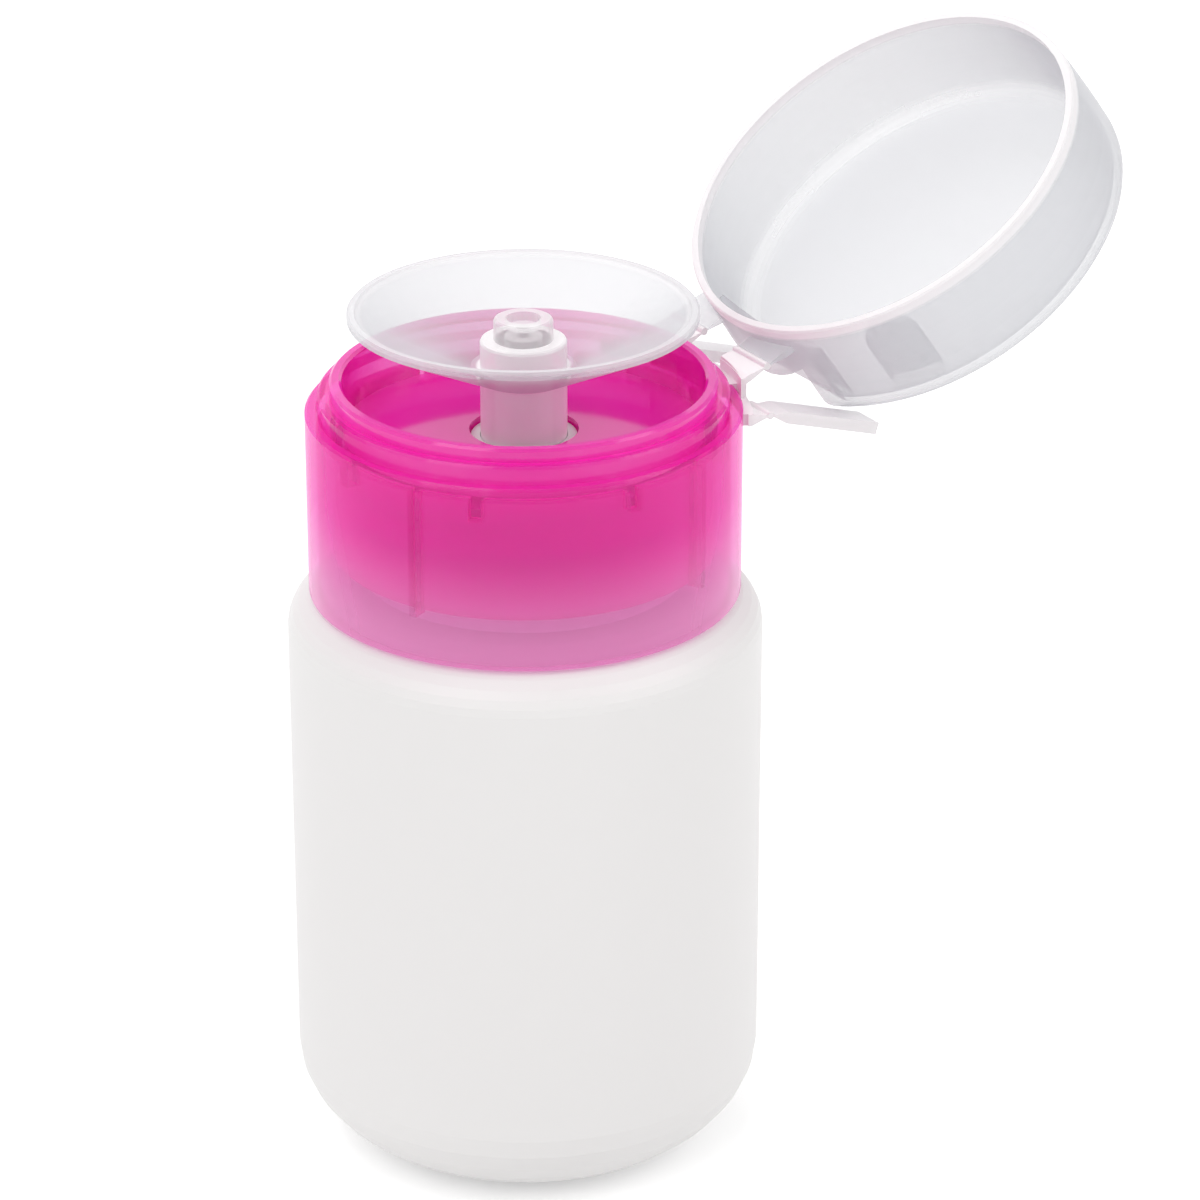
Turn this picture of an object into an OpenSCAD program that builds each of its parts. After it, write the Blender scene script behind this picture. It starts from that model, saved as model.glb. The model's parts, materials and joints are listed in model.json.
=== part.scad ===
// Push-down liquid dispenser with a flip lid, in millimetres.
// The bottle stands on z = 0 with its axis on Z, and the lid hinge lies towards +X.
// The lid is drawn closed on the collar and is then swung open about its hinge line.

/* [Bottle] */
// bottle body radius
body_r = 27.5; // [20:0.5:40]
// height at which the straight side ends
side_top = 65.3; // [45:0.1:100]
// horizontal reach of the heel curve
heel_a = 15.3; // [6:0.1:20]
// vertical reach of the heel curve
heel_b = 11.2; // [5:0.1:20]
// horizontal reach of the shoulder curve
shoulder_a = 22; // [14:0.5:24]
// vertical reach of the shoulder curve
shoulder_b = 8.3; // [5:0.1:15]
// bottle wall thickness
bottle_wall = 1.1; // [0.8:0.1:2]
// neck wall thickness
neck_wall = 1.5; // [1:0.1:3]
// neck length above the shoulder
neck_h = 13.1; // [9:0.1:20]

/* [Thread] */
// thread pitch
pitch = 4; // [2.5:0.1:6]
// thread depth
thread_d = 1.3; // [0.8:0.1:2]
// thread width at its root
thread_w = 1.6; // [1:0.1:2]
// thread width at its crest
thread_crest = 0.9; // [0.5:0.1:1.2]
// radial play between a crest and the wall it faces
thread_play = 0.5; // [0.3:0.05:0.8]
// turns of the neck thread
neck_turns = 1.75; // [1:0.25:2]
// distance from the top of the neck to the top of its thread
thread_top = 1.6; // [1:0.1:3]
// depth to which a thread ridge is sunk into its wall
thread_root = 0.3; // [0.1:0.05:0.5]

/* [Collar] */
// gap between the collar edge and the bottle shoulder
skirt_gap = 0.8; // [0.3:0.05:2]
// outer skirt radius
skirt_r = 24.95; // [20:0.05:32]
// outer skirt wall
skirt_wall = 1.25; // [0.8:0.05:2]
// space between the outer skirt and the threaded inner ring
ring_gap = 1.6; // [1:0.05:4]
// depth of the groove behind the lip
lip_h = 0.6; // [0.3:0.05:2]
// depth of the notches for the hinge, from the top of the lip
notch_h = 1.5; // [1.4:0.05:1.8]
// groove between the lip and the lid seat
groove_w = 0.22; // [0.15:0.01:0.6]
// rise of the lid seat above the lip
seat_rise = 2.05; // [1:0.05:4]
// rise of the inner ring above the lid seat
ring_rise = 1.55; // [0.8:0.05:3]
// wall of the threaded inner ring
inner_wall = 1.4; // [1:0.05:2.5]
// gap between the inner ring and the bottle shoulder
inner_gap = 3; // [1:0.1:5]
// thickness of the deck
deck_t = 1.5; // [1:0.1:3]
// gap between the pump flange and the deck
deck_gap = 0.3; // [0.1:0.05:1]
// thickness of the web between the two skirts
web_t = 1.6; // [1.2:0.1:3]
// drop of the well floor below the lip
well_drop = 2.75; // [2:0.05:6]
// radius of the hole that the stem passes through
deck_hole_r = 6.25; // [5.4:0.05:9]
// gussets under the web
gusset_count = 8; // [4:1:12]
// gusset thickness
gusset_t = 1.5; // [0.8:0.1:2]
// gusset height below the web
gusset_h = 2.4; // [1:0.1:5]
// direction of the first gusset from the hinge
gusset_a = 45.5; // [0:0.5:90]
// long ribs between the two skirts
rib_count = 4; // [2:1:6]
// rib thickness
rib_t = 0.9; // [0.6:0.1:2]
// rib length below the web
rib_h = 15; // [4:0.5:15.5]
// direction of the first long rib from the hinge
rib_a = 27; // [0:0.5:90]
// edge rounding of the collar rings
ring_round = 0.3; // [0.1:0.05:0.5]
// half angle of the lip notch at the hinge
lip_notch_a = 19.5; // [8:0.5:25]
// half angle of the seat notch at the hinge
seat_notch_a = 14.5; // [5:0.5:20]

/* [Dish and stem] */
// dish rim radius
dish_r = 19.94; // [12:0.02:20.2]
// height of the dish rim above the well floor
dish_h = 14.5; // [10:0.1:20]
// rise of the cone for each millimetre of radius
dish_slope = 0.5; // [0.3:0.01:0.8]
// dish wall thickness
dish_t = 1.05; // [0.7:0.05:2]
// height of the upright rim edge
dish_edge = 0.9; // [0.5:0.05:2]
// stem outer radius
stem_r = 4.95; // [4:0.05:6]
// stem bore radius
stem_bore_r = 3.3; // [2.5:0.05:4]
// stem top below the dish rim
stem_drop = 3.6; // [1:0.1:8]
// spout radius
spout_r = 3.4; // [3.35:0.01:4.5]
// spout height above the stem
spout_h = 2.5; // [1:0.1:5]
// spout hole radius
spout_hole_r = 0.8; // [0.4:0.1:1.5]
// radius of the recess in the spout's top
spout_cup_r = 2; // [1.6:0.1:2.6]
// depth of the recess in the spout's top
spout_cup_h = 1.1; // [0.5:0.1:1.4]
// rounding of the spout and stem edges
stem_round = 0.35; // [0.1:0.05:0.6]
// spout chamber radius
spout_chamber_r = 2.2; // [1.5:0.1:2.6]
// depth of the spout plug inside the stem
spout_plug = 7; // [4:0.5:9]
// press stroke
stroke = 4.5; // [2:0.1:5]

/* [Pump] */
// pump barrel bore radius
barrel_r = 6.2; // [5.3:0.05:8]
// pump barrel wall
barrel_wall = 1.1; // [0.8:0.1:2]
// pump barrel depth below its flange
barrel_h = 33; // [28:0.5:36]
// pump flange thickness
flange_t = 1.4; // [0.8:0.1:2.5]
// play between the pump flange and the thread inside the collar
flange_play = 0.2; // [0.1:0.05:1]
// gasket thickness
gasket_t = 0.8; // [0.5:0.1:2]
// sliding clearance of the stem in its guide
guide_play = 0.08; // [0.03:0.01:0.1]
// sliding clearance of the piston in the barrel
piston_play = 0.05; // [0.02:0.01:0.1]
// guide length below the flange top
guide_h = 6.6; // [4:0.1:9]
// thickness of the guide's own flange
guide_flange = 0.22; // [0.15:0.01:0.28]
// fit between the guide and the barrel
guide_fit = 0.03; // [0.01:0.01:0.1]
// play between the guide rim and the deck hole
rim_play = 0.2; // [0.1:0.05:0.5]
// rim of the guide above the flange
guide_lip = 1.1; // [0.5:0.1:1.4]
// gap between the guide and the stem foot below it
foot_gap = 1.2; // [0.5:0.1:3]
// play between the stem foot and the barrel
foot_play = 0.4; // [0.2:0.05:1]
// thickness of the stem foot
foot_t = 1.1; // [0.6:0.1:2]
// distance from the stem foot down to the piston
piston_drop = 5.2; // [1:0.1:8]
// piston length
piston_h = 5.5; // [4:0.1:7]
// length of each sealing lip of the piston
piston_lip = 0.8; // [0.4:0.05:1.2]
// depth of the waist between the lips
piston_waist = 0.7; // [0.3:0.05:1.5]
// piston rod bore radius
rod_bore_r = 1.3; // [0.8:0.1:2]
// fit between the rod and the stem bore
rod_fit = 0.02; // [0.01:0.01:0.1]
// thickness of the rod's spring flange
rod_flange = 0.6; // [0.4:0.05:1.5]
// room for the outlet ball between the rod and the spout plug
ball_room = 3.2; // [2.5:0.1:5]
// spring wire radius
wire_r = 0.4; // [0.25:0.05:0.6]
// spring turns
spring_turns = 6; // [4:1:8]
// play between the spring and the barrel
spring_play = 0.5; // [0.2:0.05:1]
// play at each end of the spring
spring_end = 0.05; // [0.02:0.01:0.2]
// inlet ball radius
ball_r = 2.4; // [2:0.1:2.8]
// depth of the sloping inlet seat
seat_h = 3.4; // [2.5:0.1:5]
// radius of the inlet hole
inlet_r = 1.6; // [1:0.1:1.9]
// room beside the inlet ball at the top of its seat
seat_play = 0.9; // [0.5:0.1:1.5]
// outlet ball radius
top_ball_r = 1.7; // [1.4:0.1:1.9]
// dip tube outer radius
tube_r = 2.9; // [2.2:0.1:3.2]
// dip tube wall
tube_wall = 0.8; // [0.5:0.1:1.2]
// depth of the dip tube in its socket
socket_h = 7; // [4:0.5:10]
// wall of the dip tube socket
socket_wall = 1.3; // [0.8:0.1:2]
// floor between the inlet seat and the socket
socket_floor = 1; // [0.6:0.1:2]
// gap between the tube end and the bottle floor
tube_gap = 4; // [2:0.5:10]

/* [Lid] */
// lid rim outer radius
lid_r = 25.1; // [21:0.05:33]
// outward swell of the lid wall
lid_swell = 0.5; // [0:0.05:1]
// lid outer height
lid_h = 14.5; // [12:0.1:25]
// lid wall thickness
lid_wall = 0.95; // [0.7:0.05:1.6]
// lid top thickness
lid_top = 1.2; // [0.8:0.1:2]
// outer corner radius of the lid
lid_corner = 2.8; // [1:0.1:4]
// gap between the closed lid and the collar lip
lid_gap = 0.08; // [0.05:0.01:0.4]
// opening angle of the lid from closed, as stored
open_a = 144.3; // [90:0.1:160]
// hinge line beyond the rim of the closed lid
hinge_out = 2.35; // [1.5:0.05:4]
// hinge line above the rim of the closed lid
hinge_up = 1.87; // [0.5:0.01:3]
// width of the recess at the hinge side of the lid
recess_w = 18.8; // [11:0.1:21]
// depth of the recess in the lid wall
recess_d = 3.1; // [2:0.1:4]
// height on the lid where the recess starts
recess_h = 6.2; // [5:0.1:8]
// extra height of the wall in the middle of the recess
recess_sag = 2.8; // [0:0.1:3]
// width of the rounded tab inside the lid
tab_w = 6.4; // [4:0.1:9]
// thickness of the tab inside the lid
tab_t = 1.1; // [0.8:0.1:2]
// direction of the tab from the hinge
tab_a = -45; // [-90:1:-30]
// play between the tab and the collar ring
tab_play = 0.5; // [0.3:0.05:1.5]
// step from the collar ring in to the tab
tab_step = 0.25; // [0.1:0.05:1]

/* [Hinge straps] */
// sideways place of the middle of the hinge
strap_shift = 1.2; // [-4:0.1:4]
// width of each main strap
main_w = 6.6; // [3:0.1:8]
// distance of each main strap from the middle of the hinge
main_off = 6.6; // [5:0.1:7.5]
// thickness of the main straps
main_t = 0.8; // [0.6:0.05:1.1]
// rise of the main straps when the lid is open, in degrees
main_rise = 21.5; // [10:0.5:30]
// width of each side strap
side_w = 4.2; // [2:0.1:6]
// distance of each side strap from the middle of the hinge
side_off = 12.5; // [11:0.1:14]
// thickness of the side straps
side_t = 1.4; // [0.8:0.1:2]
// length of a side strap past the corner of the lid
side_past = 2.2; // [0.5:0.1:4]
// side strap pivot below the collar lip
side_drop = 2; // [1.5:0.1:5]
// play round each strap and pivot
strap_play = 0.3; // [0.15:0.05:0.6]
// radius of the round bead at a hinge line
bead_r = 0.45; // [0.35:0.05:0.6]
// play between a bead and the cup round it
bead_play = 0.06; // [0.02:0.01:0.1]
// reach of the hinge band beyond the lid rim
band_t = 1.1; // [0.8:0.05:2]
// play between the hinge band and the collar notch
band_play = 0.02; // [0.01:0.01:0.1]
// play at the ends of the band's tongue, in degrees
tongue_play = 0.4; // [0.2:0.1:1]
// thickness of a strap where it meets its hinge line
film_t = 0.24; // [0.1:0.02:0.4]
// distance over which a strap thickens
film_len = 2.5; // [1:0.1:3]

/* [Hidden] */
$fn = 96;
e = 0.01;
// radii from the collar skirt in to the bottle neck
skirt_in_r = skirt_r - skirt_wall;
seat_r = skirt_in_r - groove_w;
inner_skirt_r = skirt_in_r - ring_gap;
bore_r = inner_skirt_r - inner_wall;
crest_r = bore_r - thread_play;
neck_r = crest_r - thread_d;
inner_neck_r = neck_r - neck_wall;
flange_r = bore_r - thread_d - flange_play;
// heights on the bottle
neck_z = side_top + shoulder_b * sqrt(1 - pow((neck_r - body_r + shoulder_a) / shoulder_a, 2));
neck_top = neck_z + neck_h;
// heights on the pump and the collar, from the top of the neck
flange_z = neck_top + gasket_t;
flange_top = flange_z + flange_t;
deck_under = flange_top + deck_gap;
well_z = deck_under + deck_t;
lip_z = well_z + well_drop;
seat_z = lip_z + seat_rise;
ring_z = seat_z + ring_rise;
web_top = lip_z - lip_h;
web_z = web_top - web_t;
notch_z = lip_z - notch_h;
edge_in = body_r - min(skirt_r, body_r);
shoulder_at = side_top + shoulder_b * sqrt(1 - pow(1 - edge_in / shoulder_a, 2));
skirt_z = shoulder_at + skirt_gap;
inner_skirt_z = neck_z + inner_gap;
// dish and stem
rim_z = well_z + dish_h;
cone_z0 = rim_z - dish_edge - dish_slope * dish_r;
stem_top = rim_z - stem_drop;
stem_foot_z = flange_top - guide_h - foot_gap;
stem_foot_r = barrel_r - foot_play;
// pump barrel
barrel_floor = flange_top - barrel_h;
socket_top = barrel_floor - seat_h - socket_floor;
socket_z = socket_top - socket_h;
rod_r = stem_bore_r - rod_fit;
rod_top = stem_top - spout_plug - ball_room;
piston_z = stem_foot_z - piston_drop - piston_h;
rod_z = piston_z - rod_flange;
spring_z0 = barrel_floor;
spring_z1 = rod_z;
spring_r = barrel_r - wire_r - spring_play;
// ball resting on the sloping valve seat
seat_slope = (ball_r + seat_play - inlet_r) / seat_h;
seat_ang = atan(seat_slope);
ball_z = barrel_floor - seat_h + ball_r / sin(seat_ang) - inlet_r / tan(seat_ang);
top_ball_z = rod_top + sqrt(pow(top_ball_r, 2) - pow(rod_bore_r, 2));
// lid and hinge
lid_z = lip_z + lid_gap;
reach_r = max(lid_r, skirt_r);
hinge_x = reach_r + hinge_out;
hinge_z = lid_z + hinge_up;
lid_in_r = lid_r - lid_wall;
tab_r = inner_skirt_r - tab_step;
// direction of the middle of the hinge from the bottle axis
hinge_az = asin(strap_shift / skirt_r);
// side strap pivot line, clear of the closed lid
side_in = side_off - abs(strap_shift) - side_w / 2;
side_x = sqrt(pow(reach_r + lid_swell, 2) - pow(side_in, 2)) + strap_play + side_t / 2;
side_z = lip_z - side_drop;

// point of the closed lid after the lid has opened by an angle
function turned(p, a) = [
  hinge_x + (p[0] - hinge_x) * cos(a) + (p[1] - hinge_z) * sin(a),
  hinge_z - (p[0] - hinge_x) * sin(a) + (p[1] - hinge_z) * cos(a)];

// side strap from its pivot to its tip, passing just under the corner of the open lid
corner_x = sqrt(pow(lid_r + lid_swell, 2) - pow(side_in, 2)) - lid_corner;
corner_at = turned([corner_x, lid_z + lid_h - lid_corner], open_a);
corner_dx = corner_at[0] - side_x;
corner_dz = corner_at[1] - side_z;
corner_far = norm([corner_dx, corner_dz]);
side_fall = atan2(corner_dz, corner_dx) - asin((lid_corner + strap_play + side_t / 2) / corner_far);
side_len = corner_far + side_past;

// ring of rectangular section
module ring(r0, r1, z0, z1) {
  rotate_extrude() translate([r0, z0]) square([r1 - r0, z1 - z0]);
}

// helical ridge, its root on radius r, growing outwards for a positive depth
module helix(r, depth, z, turns) {
  steps = ceil(turns * 24);
  dir = sign(depth);
  function ramp(i) = min(1, min(i, steps - i) / 3);
  function ring_pts(i) =
    let(a = 360 * turns * i / steps, h = z + pitch * turns * i / steps, k = max(0.12, ramp(i)))
    [for (q = [[-thread_root * dir, -thread_w / 2], [depth * k, -thread_crest / 2],
      [depth * k, thread_crest / 2], [-thread_root * dir, thread_w / 2]])
      [(r + q[0]) * cos(a), (r + q[0]) * sin(a), h + q[1]]];
  pts = [for (i = [0:steps]) each ring_pts(i)];
  side = [for (i = [0:steps - 1], j = [0:3])
    let(a = 4 * i + j, b = 4 * i + (j + 1) % 4, c = b + 4, d = a + 4)
    each dir > 0 ? [[a, b, c], [a, c, d]] : [[a, c, b], [a, d, c]]];
  n = 4 * steps;
  ends = dir > 0 ? [[3, 2, 1, 0], [n, n + 1, n + 2, n + 3]] : [[0, 1, 2, 3], [n + 3, n + 2, n + 1, n]];
  polyhedron(points = pts, faces = concat(side, ends), convexity = 8);
}

// quarter of an ellipse as outline points, from angle a0 to a1
function arc(cx, cz, a, b, a0, a1, n) = [for (i = [0:n]) let(t = a0 + (a1 - a0) * i / n)
  [cx + a * cos(t), cz + b * sin(t)]];

module bottle_outline(inset) {
  top_t = acos((neck_r - inset - body_r + shoulder_a) / (shoulder_a - inset));
  polygon(concat(
    [[0, inset], [body_r - heel_a, inset]],
    arc(body_r - heel_a, heel_b, heel_a - inset, heel_b - inset, -84, 0, 7),
    arc(body_r - shoulder_a, side_top, shoulder_a - inset, shoulder_b - inset, 0, top_t, 8),
    [[0, side_top + (shoulder_b - inset) * sin(top_t)]]));
}

module bottle() {
  color("white") {
    difference() {
      union() {
        rotate_extrude() bottle_outline(0);
        ring(inner_neck_r, neck_r, neck_z - neck_wall, neck_top);
        helix(neck_r, thread_d, neck_top - thread_top - pitch * neck_turns, neck_turns);
      }
      rotate_extrude() bottle_outline(bottle_wall);
      translate([0, 0, neck_z - shoulder_b]) cylinder(r = inner_neck_r, h = neck_h + 2 * shoulder_b);
    }
  }
}

// collar rings and deck as one turned section
module collar_section() {
  k = ring_round;
  polygon([
    [deck_hole_r, deck_under], [bore_r, deck_under], [bore_r, inner_skirt_z],
    [inner_skirt_r, inner_skirt_z], [inner_skirt_r, web_z], [skirt_in_r, web_z],
    [skirt_in_r, skirt_z], [skirt_r, skirt_z], [skirt_r, lip_z - k], [skirt_r - k, lip_z],
    [skirt_in_r, lip_z], [skirt_in_r, web_top], [seat_r, web_top], [seat_r, seat_z - k],
    [seat_r - k, seat_z], [inner_skirt_r, seat_z], [inner_skirt_r, ring_z - k],
    [inner_skirt_r - k, ring_z], [bore_r + k, ring_z], [bore_r, ring_z - k], [bore_r, well_z],
    [deck_hole_r, well_z]]);
}

// wedge about the hinge direction, as a notch cutter
module notch(r0, r1, z0, z1, half) {
  rotate([0, 0, -half]) rotate_extrude(angle = 2 * half) translate([r0, z0]) square([r1 - r0, z1 - z0]);
}

// walls between the two skirts, evenly spaced from angle a0, reaching h below the web
module spokes(count, a0, t, h) {
  for (i = [0:count - 1]) {
    rotate([0, 0, a0 + 360 * i / count]) translate([inner_skirt_r - 0.2, -t / 2, web_z - h])
      cube([skirt_in_r - inner_skirt_r + 0.4, t, h + 0.2]);
  }
}

module collar() {
  color("deeppink") {
    difference() {
      union() {
        rotate_extrude() collar_section();
        helix(bore_r, -thread_d, neck_top - thread_top - pitch * neck_turns + pitch / 2, neck_turns);
        spokes(gusset_count, gusset_a, gusset_t, gusset_h);
        spokes(rib_count, rib_a, rib_t, rib_h);
      }
      rotate([0, 0, hinge_az]) {
        notch(skirt_in_r - groove_w / 2, skirt_r + 1, notch_z, lip_z + 1, lip_notch_a);
        notch(inner_skirt_r + 0.1, skirt_in_r - groove_w / 2 + 0.05, notch_z, seat_z + 1, seat_notch_a);
      }
    }
  }
}

module gasket() {
  color("silver") ring(inner_neck_r, neck_r, neck_top, flange_z);
}

module pump_housing() {
  color("white") {
    difference() {
      union() {
        translate([0, 0, flange_z]) cylinder(r = flange_r, h = flange_t);
        translate([0, 0, barrel_floor - barrel_wall])
          cylinder(r = barrel_r + barrel_wall, h = barrel_h - flange_t + barrel_wall + e);
        translate([0, 0, socket_z]) cylinder(r = tube_r + socket_wall, h = barrel_floor - socket_z);
      }
      translate([0, 0, barrel_floor]) cylinder(r = barrel_r, h = barrel_h + 1);
      translate([0, 0, barrel_floor - seat_h]) cylinder(r1 = inlet_r, r2 = ball_r + seat_play, h = seat_h + e);
      translate([0, 0, socket_top - e]) cylinder(r = inlet_r, h = socket_floor + seat_h);
      translate([0, 0, socket_z - 1]) cylinder(r = tube_r, h = socket_h + 1);
    }
  }
}

module stem_guide() {
  color("whitesmoke") {
    difference() {
      union() {
        translate([0, 0, flange_top - guide_h]) cylinder(r = barrel_r - guide_fit, h = guide_h + e);
        translate([0, 0, flange_top]) cylinder(r = barrel_r + barrel_wall, h = guide_flange);
        translate([0, 0, flange_top]) cylinder(r = deck_hole_r - rim_play, h = guide_lip);
      }
      translate([0, 0, flange_top - guide_h - 1]) cylinder(r = stem_r + guide_play, h = guide_h + 4);
    }
  }
}

// height of the underside of the dish cone at radius r
function cone_z(r) = cone_z0 + dish_slope * r;

module dish() {
  k = dish_t / 5;
  foot_out = stem_r + dish_t;
  color("lavenderblush") {
    difference() {
      union() {
        rotate_extrude() polygon([
          [stem_bore_r + k, cone_z(stem_r)], [stem_r, cone_z(stem_r)], [dish_r, cone_z(dish_r)],
          [dish_r, rim_z - k], [dish_r - k, rim_z], [dish_r - dish_t + k, rim_z], [dish_r - dish_t, rim_z - k],
          [foot_out, cone_z(foot_out) + dish_t], [stem_r, cone_z(stem_r) + 1.5 * dish_t],
          [stem_bore_r + k, cone_z(stem_r) + 1.5 * dish_t]]);
        rotate_extrude() polygon([
          [0, stem_foot_z], [stem_r, stem_foot_z], [stem_r, stem_top - stem_round],
          [stem_r - stem_round / 3, stem_top - stem_round / 3], [stem_r - stem_round, stem_top], [0, stem_top]]);
        translate([0, 0, stem_foot_z]) cylinder(r = stem_foot_r, h = foot_t);
      }
      translate([0, 0, stem_foot_z - 1]) cylinder(r = stem_bore_r, h = stem_top - stem_foot_z + 2);
    }
  }
}

module spout() {
  top = stem_top + spout_h;
  cup_z = top - spout_cup_h;
  roof_z = cup_z - dish_t;
  plug_z = stem_top - spout_plug;
  k = stem_round;
  color("white") {
    difference() {
      union() {
        translate([0, 0, plug_z]) cylinder(r = rod_r, h = spout_plug + e);
        rotate_extrude() polygon([
          [0, stem_top], [spout_r, stem_top], [spout_r, top - k], [spout_r - k / 3, top - k / 3],
          [spout_r - k, top], [0, top]]);
      }
      translate([0, 0, plug_z - 1]) cylinder(r = spout_chamber_r, h = roof_z - plug_z + 1);
      translate([0, 0, roof_z - 1]) cylinder(r = spout_hole_r, h = spout_h + 2);
      translate([0, 0, cup_z]) cylinder(r = spout_cup_r, h = spout_cup_h + 1);
    }
  }
}

module piston_rod() {
  color("white") {
    difference() {
      translate([0, 0, rod_z]) cylinder(r = rod_r, h = rod_top - rod_z);
      translate([0, 0, rod_z - 1]) cylinder(r = rod_bore_r, h = rod_top - rod_z + 2);
    }
    ring(rod_r - rod_bore_r / 4, spring_r + wire_r, rod_z, rod_z + rod_flange);
  }
}

module piston() {
  color("gainsboro") {
    p = barrel_r - piston_play;
    top = piston_z + piston_h;
    rotate_extrude() polygon([
      [rod_r, piston_z], [p, piston_z], [p, piston_z + piston_lip],
      [p - piston_waist, piston_z + 2 * piston_lip],
      [p - piston_waist, top - 2 * piston_lip], [p, top - piston_lip], [p, top], [p - piston_lip, top],
      [p - 1.5 * piston_lip, top - 1.5 * piston_lip], [rod_r, top - 1.5 * piston_lip]]);
  }
}

// round wire wound between the barrel floor and the piston rod
module return_spring() {
  sides = 8;
  steps = spring_turns * 20;
  z0 = spring_z0 + wire_r + spring_end;
  rise = spring_z1 - spring_z0 - 2 * (wire_r + spring_end);
  pts = [for (i = [0:steps], j = [0:sides - 1])
    let(a = 360 * spring_turns * i / steps, b = 360 * j / sides, r = spring_r + wire_r * cos(b))
    [r * cos(a), r * sin(a), z0 + rise * i / steps + wire_r * sin(b)]];
  side = [for (i = [0:steps - 1], j = [0:sides - 1])
    let(a = sides * i + j, b = sides * i + (j + 1) % sides, c = b + sides, d = a + sides)
    each [[a, b, c], [a, c, d]]];
  n = sides * steps;
  ends = [[for (j = [0:sides - 1]) sides - 1 - j], [for (j = [0:sides - 1]) n + j]];
  color("silver") polyhedron(points = pts, faces = concat(side, ends), convexity = 12);
}

module inlet_ball() {
  color("silver") translate([0, 0, ball_z]) sphere(r = ball_r);
}

module outlet_ball() {
  color("silver") translate([0, 0, top_ball_z]) sphere(r = top_ball_r);
}

module dip_tube() {
  color("whitesmoke") ring(tube_r - tube_wall, tube_r, bottle_wall + tube_gap, socket_top);
}

// strap that leaves the hinge line (x, z) at an angle, thin at the hinge line and t thick further out
module leaf(x, z, a, len, t, y0, y1) {
  taper = min(film_len, 0.8 * len);
  f = film_t / 2;
  translate([x, y1, z]) rotate([90, -a, 0]) linear_extrude(height = y1 - y0)
    polygon([[0, 0], [bead_r, -f], [taper, -t / 2], [len, -t / 2], [len, t / 2], [taper, t / 2], [bead_r, f]]);
}

// arc band about the hinge direction, from angle a0 to a1
module arc_band(r0, r1, z0, z1, a0, a1) {
  rotate([0, 0, a0]) rotate_extrude(angle = a1 - a0) translate([r0, z0]) square([r1 - r0, z1 - z0]);
}

module bead(x, z, r, y0, y1) {
  translate([x, y1, z]) rotate([90, 0, 0]) cylinder(r = r, h = y1 - y0);
}

module hinge_band() {
  outer = reach_r + band_t;
  right_a = asin((strap_shift - side_off - side_w / 2) / outer);
  left_a = asin((strap_shift + side_off + side_w / 2) / outer);
  low_z = side_z - side_t / 2;
  clear_r = reach_r + strap_play;
  foot_z = hinge_z - (hinge_x - clear_r) * tan(main_rise);
  color("whitesmoke") {
    arc_band(skirt_in_r + band_play, (clear_r + outer) / 2, notch_z, lip_z - band_play,
      hinge_az - lip_notch_a + tongue_play, hinge_az + lip_notch_a - tongue_play);
    arc_band(skirt_r + band_play, outer, low_z, side_z + side_t / 2, right_a, left_a);
    for (s = [-1, 1]) {
      y = strap_shift + s * main_off;
      y0 = y - main_w / 2;
      y1 = y + main_w / 2;
      bead(hinge_x, hinge_z, bead_r, y0, y1);
      difference() {
        leaf(hinge_x, hinge_z, 180 + main_rise, 2 * (hinge_x - skirt_r), main_t, y0, y1);
        translate([0, 0, low_z]) cylinder(r = clear_r + (outer - clear_r) / 8, h = 2 * (hinge_z - low_z));
      }
      intersection() {
        arc_band(clear_r, outer - (outer - clear_r) / 8, side_z, foot_z, right_a, left_a);
        translate([0, y0, low_z]) cube([2 * outer, main_w, 2 * (hinge_z - low_z)]);
      }
    }
    for (s = [-1, 1]) {
      y = strap_shift + s * side_off;
      bead(side_x, side_z, bead_r, y - side_w / 2, y + side_w / 2);
      difference() {
        leaf(side_x, side_z, 180, side_x - sqrt(pow(skirt_r, 2) - pow(abs(y) + side_w / 2, 2)), side_t,
          y - side_w / 2, y + side_w / 2);
        translate([0, 0, low_z - side_t]) cylinder(r = (skirt_r + outer) / 2, h = 3 * side_t);
      }
    }
  }
}

// outline of the recess at the hinge side of the lid, grown by g, as sideways place and height
module recess_outline(g) {
  half = recess_w / 2 + g;
  n = 8;
  polygon(concat(
    [for (i = [0:n]) let(t = -1 + 2 * i / n)
      [strap_shift + half * t, lid_z + recess_h + recess_sag * (1 - t * t) - g]],
    [[strap_shift + half, lid_z + lid_h + 2], [strap_shift - half, lid_z + lid_h + 2]]));
}

module recess(g) {
  translate([lid_r - recess_d - g, 0, 0]) rotate([90, 0, 90]) linear_extrude(height = recess_d + 4)
    recess_outline(g);
}

module lid_outer() {
  c = lid_corner;
  big = lid_r + lid_swell;
  rotate_extrude() polygon(concat(
    [[0, lid_z]], [[lid_r - 0.2, lid_z], [lid_r, lid_z + 0.2]],
    [for (i = [1:5]) [lid_r + lid_swell * sin(18 * i), lid_z + (lid_h - c) * i / 5]],
    arc(big - c, lid_z + lid_h - c, c, c, 18, 90, 4), [[0, lid_z + lid_h]]));
}

module lid_inner() {
  c = lid_corner - lid_wall;
  big = lid_r + lid_swell - lid_wall;
  rotate_extrude() polygon(concat(
    [[0, lid_z - 1], [lid_in_r, lid_z - 1]],
    [for (i = [0:5]) [lid_in_r + lid_swell * sin(18 * i), lid_z + (lid_h - lid_top - c) * max(i, 0.1) / 5]],
    arc(big - c, lid_z + lid_h - lid_top - c, c, c, 18, 90, 4), [[0, lid_z + lid_h - lid_top]]));
}

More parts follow.
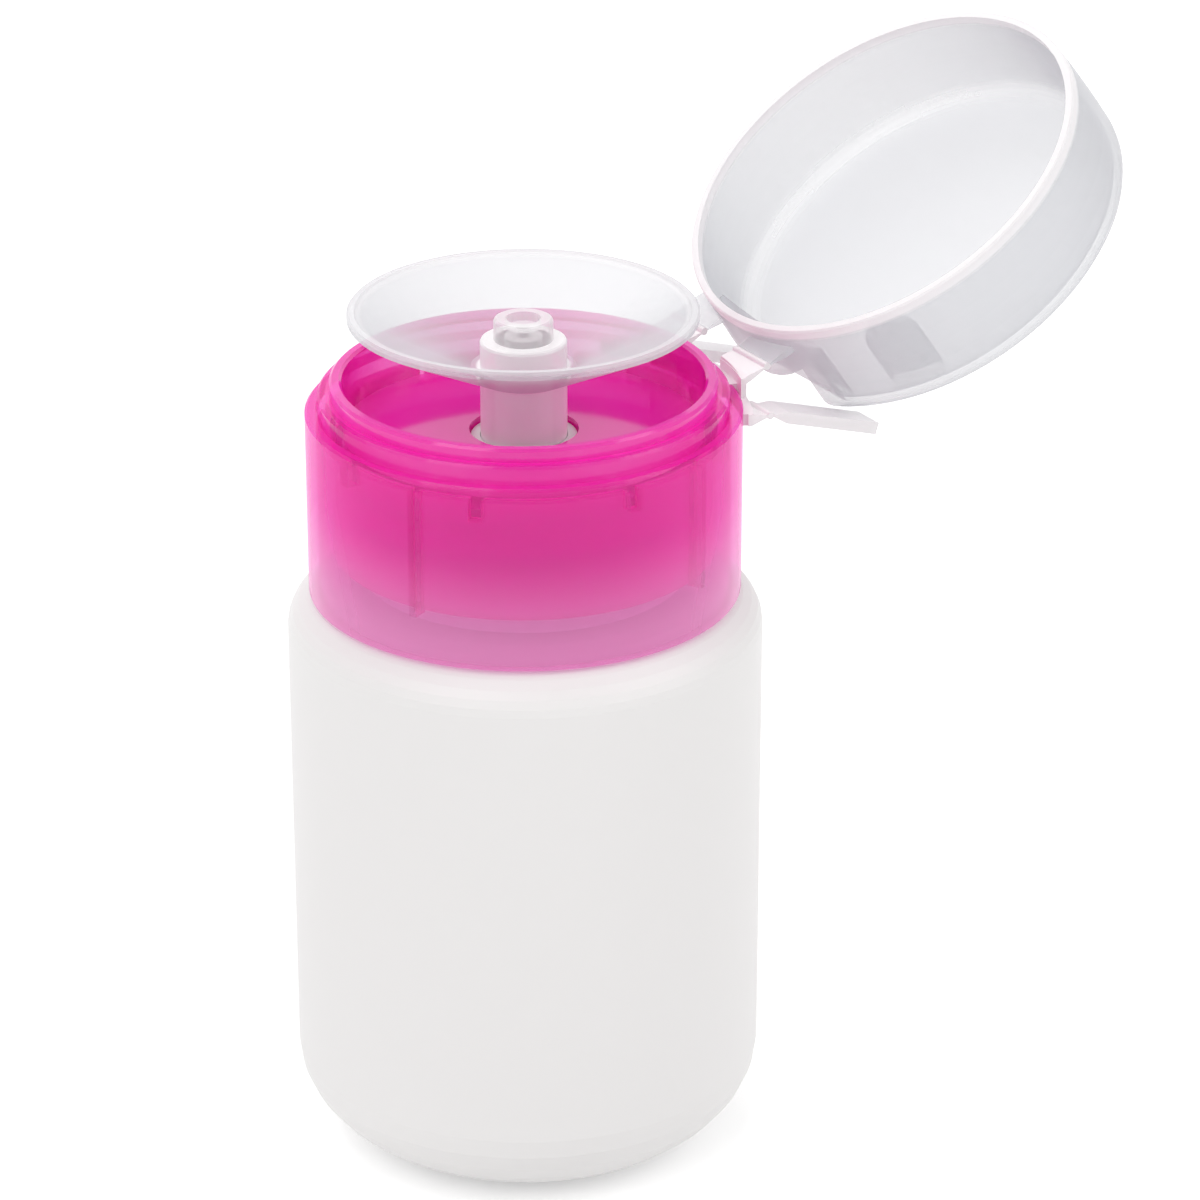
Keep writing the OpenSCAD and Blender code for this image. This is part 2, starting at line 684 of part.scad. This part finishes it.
// tab with a round end that hangs from the lid top beside the pump
module lid_tab() {
  z0 = ring_z + tab_play;
  z1 = lid_z + lid_h - lid_top + 0.1;
  intersection() {
    rotate([0, 0, tab_a]) translate([tab_r - 2 * tab_t, 0, 0]) rotate([90, 0, 90])
      linear_extrude(height = 3 * tab_t) {
        translate([0, z0 + tab_w / 2]) circle(r = tab_w / 2);
        translate([-tab_w / 2, z0 + tab_w / 2]) square([tab_w, z1 - z0 - tab_w / 2]);
      }
    ring(tab_r - tab_t, tab_r, z0 - 1, z1);
  }
}

module lid() {
  color("aliceblue")
  translate([hinge_x, 0, hinge_z]) rotate([0, open_a, 0]) translate([-hinge_x, 0, -hinge_z]) {
    difference() {
      union() {
        lid_outer();
        for (s = [-1, 1]) {
          y = strap_shift + s * main_off;
          leaf(hinge_x, hinge_z, main_rise + open_a, hinge_out + 3.6, main_t, y - main_w / 2, y + main_w / 2);
        }
      }
      bead(hinge_x, hinge_z, bead_r + bead_play, -lid_r, lid_r);
      recess(0);
      difference() {
        lid_inner();
        recess(lid_wall);
      }
    }
    lid_tab();
  }
}

module side_strap(s) {
  y = strap_shift + s * side_off;
  color("whitesmoke") {
    difference() {
      leaf(side_x, side_z, side_fall, side_len, side_t, y - side_w / 2, y + side_w / 2);
      bead(side_x, side_z, bead_r + bead_play, y - side_w, y + side_w);
    }
  }
}

module side_strap_right() {
  side_strap(-1);
}

module side_strap_left() {
  side_strap(1);
}

bottle();
collar();
gasket();
pump_housing();
stem_guide();
dish();
spout();
piston_rod();
piston();
return_spring();
inlet_ball();
outlet_ball();
dip_tube();
hinge_band();
lid();
side_strap_right();
side_strap_left();
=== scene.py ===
import json
import math

import bpy
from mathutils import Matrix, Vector

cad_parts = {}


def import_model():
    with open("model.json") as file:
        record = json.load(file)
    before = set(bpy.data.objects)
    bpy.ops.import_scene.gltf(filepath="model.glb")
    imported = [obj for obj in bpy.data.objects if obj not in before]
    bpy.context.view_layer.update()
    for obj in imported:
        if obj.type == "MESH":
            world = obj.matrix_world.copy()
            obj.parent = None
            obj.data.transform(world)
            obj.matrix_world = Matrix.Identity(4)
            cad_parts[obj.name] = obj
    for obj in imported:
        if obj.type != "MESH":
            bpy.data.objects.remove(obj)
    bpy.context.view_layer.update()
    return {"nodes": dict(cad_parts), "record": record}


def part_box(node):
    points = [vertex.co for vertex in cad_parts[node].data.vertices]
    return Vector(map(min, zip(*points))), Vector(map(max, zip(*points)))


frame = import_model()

# Camera, fitted to the photograph: the point it looks at, its distance, its azimuth and its elevation
AIM = Vector((0.007344, -0.004589, 0.06749))
CAMERA_DISTANCE = 0.560
CAMERA_AZIMUTH = math.radians(-32.0)
CAMERA_ELEVATION = math.radians(24.12)
# Width of its sensor and length of its lens in millimetres
SENSOR = 36.0
LENS = 145.1

# Share of the light that a clear wall scatters, seen straight on, and where it is thick
LID_HAZE = 0.28
DISH_HAZE = 0.26
THICK_HAZE = 0.60
STRAP_HAZE = 0.70
SPOUT_HAZE = 0.25
COLLAR_HAZE = 0.19
# Tint of light that passes one surface of the collar
COLLAR_TINT = (1.0, 0.77, 0.94)
# Depth of colour of the threaded inner ring and of the foot of the skirt, as shares of the skirt's own
RING_DEPTH = 2.4
FOOT_DEPTH = 0.9
# Height over which the skirt comes to its full depth and colour, and over which the painted light at its
# foot fades out
FOOT_RISE = 0.015
# Pink of the collar, and the paler pink at the foot of its skirt, which is painted light standing in for
# the light that shines through the thin foot
PINK = (1.0, 0.022, 0.56)
LIT_FOOT_PINK = (1.0, 0.60, 0.84)
# Outer radius of the threaded ring, and the width over which its depth of colour ends
RING_RADIUS = 0.0224
RING_FADE = 0.0004
# A sheet that scatters little still reflects fully, so its shader's index is higher than the plastic's
SHEET_IOR = 1.9
# Colour of the frosted plastic where it is thin and where it is thick, as shaded and lit copies of one
# plastic: the grey of the thin walls is painted shade, and the white of the thick parts, the spout and
# the straps is painted light
SHADED_THIN_TONE = (0.68, 0.685, 0.72)
LIT_THICK_TONE = (0.98, 0.95, 0.965)
# A line of sight along a wall counts as at most one over this times its thickness
LEAST_COSINE = 0.25

# Distances from the lid's rim between which its thick edge ends
LID_EDGE = (0.0009, 0.0016)
# Depths below the dish's rim between which its thick edge ends, and how thick it counts beside the stem
DISH_EDGE = (0.0006, 0.0003)
DISH_EDGE_SHARE = 0.4
# Distances from the axis between which the stem ends
STEM_EDGE = (0.0051, 0.0056)

# Light of the world on the object, as a share of the white that is seen
AMBIENT = 0.55
# Floor: its radius, how far it lies below the base, its colour and the glow that is only seen
FLOOR_RADIUS = 3.0
FLOOR_DROP = 0.0002
FLOOR_TONE = (0.9, 0.9, 0.9, 1.0)
FLOOR_GLOW = 0.35

# Lid axis and the middle of its rim when the lid stands open
HINGE = next(j for j in frame["record"]["behaviour"]["joints"] if j["name"] == "lid_hinge")
LID_ANGLE = math.radians(-HINGE["range_deg"][0])
LID_AXIS = (math.sin(LID_ANGLE), 0.0, math.cos(LID_ANGLE))
HINGE_ABOVE_RIM = 0.00187
LID_RIM = tuple(p - HINGE_ABOVE_RIM * a for p, a in zip(HINGE["pos_m"], LID_AXIS))
DISH_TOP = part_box("dish")[1][2]
SKIRT_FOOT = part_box("collar")[0][2]


def shader(name):
    """A new material, its node tree and its principled shader."""
    material = bpy.data.materials.new(name)
    material.use_nodes = True
    tree = material.node_tree
    return material, tree, tree.nodes["Principled BSDF"]


def link(tree, source, socket, target, into):
    """Join a named or numbered output to a named or numbered input."""
    tree.links.new(source.outputs[socket], target.inputs[into])


def feed(tree, operand, target, into):
    """Give an input a number, a node's first output, or the output named in a pair of node and name."""
    if isinstance(operand, (int, float)):
        target.inputs[into].default_value = operand
    elif isinstance(operand, tuple):
        link(tree, operand[0], operand[1], target, into)
    else:
        link(tree, operand, 0, target, into)


def noise(tree, scale, detail=2.0, stretch=None):
    """Noise over the object's own coordinates, stretched along an axis where asked."""
    coords = tree.nodes.new("ShaderNodeTexCoord")
    texture = tree.nodes.new("ShaderNodeTexNoise")
    texture.inputs["Scale"].default_value = scale
    texture.inputs["Detail"].default_value = detail
    if stretch:
        mapping = tree.nodes.new("ShaderNodeMapping")
        mapping.inputs["Scale"].default_value = stretch
        link(tree, coords, "Object", mapping, "Vector")
        link(tree, mapping, "Vector", texture, "Vector")
    else:
        link(tree, coords, "Object", texture, "Vector")
    return texture


def add_bump(tree, principled, texture, strength, distance):
    """Surface waves from a texture, as deep as the distance in metres."""
    bump = tree.nodes.new("ShaderNodeBump")
    bump.inputs["Strength"].default_value = strength
    bump.inputs["Distance"].default_value = distance
    link(tree, texture, "Fac", bump, "Height")
    link(tree, bump, "Normal", principled, "Normal")


def vary_roughness(tree, principled, texture, low, high):
    """Roughness that goes from low to high with a texture."""
    ramp = tree.nodes.new("ShaderNodeMapRange")
    ramp.inputs["To Min"].default_value = low
    ramp.inputs["To Max"].default_value = high
    link(tree, texture, "Fac", ramp, "Value")
    link(tree, ramp, "Result", principled, "Roughness")


def math_node(tree, operation, first, second):
    """A Math node with two operands, each as feed takes it."""
    node = tree.nodes.new("ShaderNodeMath")
    node.operation = operation
    feed(tree, first, node, 0)
    feed(tree, second, node, 1)
    return node


def longer_path(tree):
    """How many times longer than the wall's thickness a line of sight runs inside it."""
    weight = tree.nodes.new("ShaderNodeLayerWeight")
    weight.inputs["Blend"].default_value = 0.5
    cosine = math_node(tree, "SUBTRACT", 1.0, (weight, "Facing"))
    return math_node(tree, "DIVIDE", 1.0, math_node(tree, "MAXIMUM", cosine, LEAST_COSINE))


def scattered(tree, haze, path):
    """Share of the light that the wall scatters, from the share that it scatters straight through it."""
    clear_part = math_node(tree, "SUBTRACT", 1.0, haze)
    return math_node(tree, "SUBTRACT", 1.0, math_node(tree, "POWER", clear_part, path))


def fade(tree, source, start, end, low, high):
    """A value that goes from low to high as the source goes from start to end."""
    ramp = tree.nodes.new("ShaderNodeMapRange")
    ramp.interpolation_type = "SMOOTHSTEP"
    for name, value in (("From Min", start), ("From Max", end), ("To Min", low), ("To Max", high)):
        ramp.inputs[name].default_value = value
    feed(tree, source, ramp, "Value")
    return ramp


def blend_tones(tree, share, first, second, principled):
    """Base colour that goes from the first tone to the second as the share goes from 0 to 1."""
    tone = tree.nodes.new("ShaderNodeMixRGB")
    tone.inputs["Color1"].default_value = (*first, 1.0)
    tone.inputs["Color2"].default_value = (*second, 1.0)
    link(tree, share, 0, tone, "Fac")
    link(tree, tone, "Color", principled, "Base Color")


def height_along(tree, origin, axis):
    """Distance of a surface point from the origin along an axis that moves with the object."""
    coords = tree.nodes.new("ShaderNodeTexCoord")
    away = tree.nodes.new("ShaderNodeVectorMath")
    away.operation = "SUBTRACT"
    away.inputs[1].default_value = origin
    link(tree, coords, "Object", away, 0)
    dot = tree.nodes.new("ShaderNodeVectorMath")
    dot.operation = "DOT_PRODUCT"
    dot.inputs[1].default_value = axis
    link(tree, away, "Vector", dot, 0)
    return dot, "Value"


def object_height(tree):
    """Height of a surface point above the bottle's foot."""
    coords = tree.nodes.new("ShaderNodeTexCoord")
    split = tree.nodes.new("ShaderNodeSeparateXYZ")
    link(tree, coords, "Object", split, 0)
    return split, "Z"


def distance_from_axis(tree):
    """Distance of a surface point from the bottle's axis."""
    coords = tree.nodes.new("ShaderNodeTexCoord")
    flat = tree.nodes.new("ShaderNodeVectorMath")
    flat.operation = "MULTIPLY"
    flat.inputs[1].default_value = (1.0, 1.0, 0.0)
    link(tree, coords, "Object", flat, 0)
    length = tree.nodes.new("ShaderNodeVectorMath")
    length.operation = "LENGTH"
    link(tree, flat, "Vector", length, 0)
    return length, "Value"


def bottle_material():
    """Satin white plastic with faint waves from blow moulding."""
    material, tree, p = shader("bottle_white")
    p.inputs["Base Color"].default_value = (0.86, 0.845, 0.84, 1.0)
    p.inputs["IOR"].default_value = 1.48
    waves = noise(tree, 60.0, 3.0, (1.0, 1.0, 0.5))
    vary_roughness(tree, p, waves, 0.34, 0.46)
    add_bump(tree, p, waves, 0.06, 0.0006)
    return material


def collar_material():
    """Glossy pink plastic: part of the light goes through with a tint, and part is scattered; painted
    light makes the foot of the skirt paler.
    """
    material, tree, p = shader("collar_pink")
    p.inputs["IOR"].default_value = SHEET_IOR
    vary_roughness(tree, p, noise(tree, 180.0), 0.06, 0.12)
    add_bump(tree, p, noise(tree, 90.0, 2.0, (1.0, 1.0, 0.3)), 0.02, 0.0002)
    lit_foot_rise = fade(tree, object_height(tree), SKIRT_FOOT, SKIRT_FOOT + FOOT_RISE, 0.0, 1.0)
    # Painted light: the foot of the skirt is a paler pink than the rest of the collar
    blend_tones(tree, lit_foot_rise, LIT_FOOT_PINK, PINK, p)
    wall = fade(tree, lit_foot_rise, 0.0, 1.0, FOOT_DEPTH, 1.0)
    ring = fade(tree, distance_from_axis(tree), RING_RADIUS, RING_RADIUS + RING_FADE, RING_DEPTH, 0.0)
    path = math_node(tree, "MULTIPLY", longer_path(tree), math_node(tree, "MAXIMUM", wall, ring))
    deeper = tree.nodes.new("ShaderNodeGamma")
    deeper.inputs["Color"].default_value = (*COLLAR_TINT, 1.0)
    link(tree, path, 0, deeper, "Gamma")
    through = tree.nodes.new("ShaderNodeBsdfTransparent")
    link(tree, deeper, "Color", through, "Color")
    mix = tree.nodes.new("ShaderNodeMixShader")
    link(tree, scattered(tree, COLLAR_HAZE, path), 0, mix, 0)
    link(tree, through, "BSDF", mix, 1)
    link(tree, p, "BSDF", mix, 2)
    link(tree, mix, "Shader", tree.nodes["Material Output"], "Surface")
    return material


def clear_material(name, haze, thick=None):
    """Frosted clear plastic, more hazed where it is thick, with painted shade making it greyer where it
    is thin and painted light making it whiter where it is thick.
    """
    material, tree, p = shader(name)
    p.inputs["IOR"].default_value = SHEET_IOR
    vary_roughness(tree, p, noise(tree, 140.0, 3.0), 0.34, 0.44)
    add_bump(tree, p, noise(tree, 70.0), 0.02, 0.0002)
    share = haze
    if thick:
        mask = thick(tree)
        share = fade(tree, mask, 0.0, 1.0, haze, THICK_HAZE)
        # Painted shade and light: thin walls take the grey tone, thick parts the white one
        blend_tones(tree, mask, SHADED_THIN_TONE, LIT_THICK_TONE, p)
    else:
        # Painted light: the spout and straps take the white tone
        p.inputs["Base Color"].default_value = (*LIT_THICK_TONE, 1.0)
    link(tree, scattered(tree, share, longer_path(tree)), 0, p, "Alpha")
    return material


def lid_thick_and_lit(tree):
    """1 along the lid's rim and 0 in its walls; it thickens the haze and whitens the rim with painted
    light.
    """
    return fade(tree, height_along(tree, LID_RIM, LID_AXIS), *LID_EDGE, 1.0, 0.0)


def dish_thick_and_lit(tree):
    """1 in the stem, part of it along the dish's rim, and 0 in the cone; it thickens the haze and
    whitens these parts with painted light.
    """
    start, end = (DISH_TOP - depth for depth in DISH_EDGE)
    rim = fade(tree, object_height(tree), start, end, 0.0, DISH_EDGE_SHARE)
    stem = fade(tree, distance_from_axis(tree), *STEM_EDGE, 1.0, 0.0)
    return math_node(tree, "MAXIMUM", rim, stem)


def natural_material():
    """Milky uncoloured plastic of the pump's inner pieces."""
    material, tree, p = shader("pump_natural")
    p.inputs["Base Color"].default_value = (0.86, 0.86, 0.84, 1.0)
    p.inputs["Subsurface Weight"].default_value = 0.2
    p.inputs["Subsurface Radius"].default_value = (0.003, 0.003, 0.003)
    grain = noise(tree, 300.0, 3.0)
    vary_roughness(tree, p, grain, 0.35, 0.5)
    add_bump(tree, p, grain, 0.05, 0.0002)
    return material


def foam_material():
    """White foam with fine cells."""
    material, tree, p = shader("gasket_foam")
    p.inputs["Base Color"].default_value = (0.88, 0.88, 0.87, 1.0)
    cells = noise(tree, 1800.0, 4.0)
    vary_roughness(tree, p, cells, 0.75, 0.95)
    add_bump(tree, p, cells, 0.5, 0.0002)
    return material


def steel_material():
    """Drawn steel wire and polished balls."""
    material, tree, p = shader("steel")
    p.inputs["Base Color"].default_value = (0.70, 0.70, 0.72, 1.0)
    p.inputs["Metallic"].default_value = 1.0
    grain = noise(tree, 900.0, 2.0)
    vary_roughness(tree, p, grain, 0.14, 0.26)
    add_bump(tree, p, grain, 0.02, 0.0001)
    return material


def dress(node, material):
    """Give a CAD node its material."""
    mesh = frame["nodes"][node].data
    mesh.materials.clear()
    mesh.materials.append(material)


def camera():
    """Camera at the photograph's viewing angle."""
    back = Vector((math.sin(CAMERA_AZIMUTH) * math.cos(CAMERA_ELEVATION),
                   -math.cos(CAMERA_AZIMUTH) * math.cos(CAMERA_ELEVATION),
                   math.sin(CAMERA_ELEVATION)))
    data = bpy.data.cameras.new("camera")
    data.sensor_width = SENSOR
    data.lens = LENS
    data.clip_start = 0.01
    data.clip_end = 20.0
    obj = bpy.data.objects.new("camera", data)
    bpy.context.scene.collection.objects.link(obj)
    obj.location = AIM + CAMERA_DISTANCE * back
    obj.rotation_euler = back.to_track_quat("Z", "Y").to_euler()
    bpy.context.scene.camera = obj


def seen_rays(tree):
    """1 for camera, glossy and transmission rays, 0 for the light that falls on the object."""
    path = tree.nodes.new("ShaderNodeLightPath")
    first = math_node(tree, "MAXIMUM", (path, "Is Camera Ray"), (path, "Is Glossy Ray"))
    return math_node(tree, "MAXIMUM", first, (path, "Is Transmission Ray"))


def world():
    """Soft even light on the object, seen as plain white."""
    studio = bpy.data.worlds.new("studio")
    bpy.context.scene.world = studio
    studio.use_nodes = True
    tree = studio.node_tree
    background = tree.nodes["Background"]
    background.inputs["Color"].default_value = (1.0, 1.0, 1.0, 1.0)
    level = tree.nodes.new("ShaderNodeMapRange")
    level.inputs["To Min"].default_value = AMBIENT
    level.inputs["To Max"].default_value = 1.0
    link(tree, seen_rays(tree), "Value", level, "Value")
    link(tree, level, "Result", background, "Strength")


def floor():
    """Pale floor that keeps the object's shadow."""
    place = (0.0, 0.0, -FLOOR_DROP)
    bpy.ops.mesh.primitive_circle_add(vertices=96, radius=FLOOR_RADIUS, fill_type="NGON", location=place)
    obj = bpy.context.object
    obj.name = "floor"
    material = bpy.data.materials.new("floor")
    material.use_nodes = True
    tree = material.node_tree
    tree.nodes.clear()
    out = tree.nodes.new("ShaderNodeOutputMaterial")
    matt = tree.nodes.new("ShaderNodeBsdfDiffuse")
    matt.inputs["Color"].default_value = FLOOR_TONE
    glow = tree.nodes.new("ShaderNodeEmission")
    feed(tree, math_node(tree, "MULTIPLY", seen_rays(tree), FLOOR_GLOW), glow, "Strength")
    both = tree.nodes.new("ShaderNodeAddShader")
    link(tree, matt, "BSDF", both, 0)
    link(tree, glow, "Emission", both, 1)
    link(tree, both, "Shader", out, "Surface")
    obj.data.materials.append(material)


def lamp(name, azimuth, elevation, distance, size, watts):
    """Soft square lamp that faces the camera's aim, with its size and distance in metres."""
    data = bpy.data.lights.new(name, "AREA")
    data.shape = "SQUARE"
    data.size = size
    data.energy = watts
    obj = bpy.data.objects.new(name, data)
    bpy.context.scene.collection.objects.link(obj)
    a, e = math.radians(azimuth), math.radians(elevation)
    out = Vector((math.sin(a) * math.cos(e), -math.cos(a) * math.cos(e), math.sin(e)))
    obj.location = AIM + distance * out
    obj.rotation_euler = out.to_track_quat("Z", "Y").to_euler()


natural = natural_material()
steel = steel_material()
dress("bottle", bottle_material())
dress("collar", collar_material())
dress("gasket", foam_material())
dress("lid", clear_material("clear_frost_lid", LID_HAZE, lid_thick_and_lit))
dress("dish", clear_material("clear_frost_dish", DISH_HAZE, dish_thick_and_lit))
dress("spout", clear_material("clear_frost_spout", SPOUT_HAZE))
strap = clear_material("clear_frost_strap", STRAP_HAZE)
for part in ("hinge_band", "side_strap_right", "side_strap_left"):
    dress(part, strap)
for part in ("pump_housing", "stem_guide", "piston_rod", "piston", "dip_tube"):
    dress(part, natural)
for part in ("return_spring", "inlet_ball", "outlet_ball"):
    dress(part, steel)

camera()
world()
floor()
lamp("key", -70.0, 45.0, 1.2, 0.9, 5.0)
lamp("fill", 40.0, 35.0, 1.4, 1.0, 5.0)
lamp("back", 170.0, 50.0, 1.3, 0.9, 4.0)

bpy.context.scene.view_settings.view_transform = "Standard"
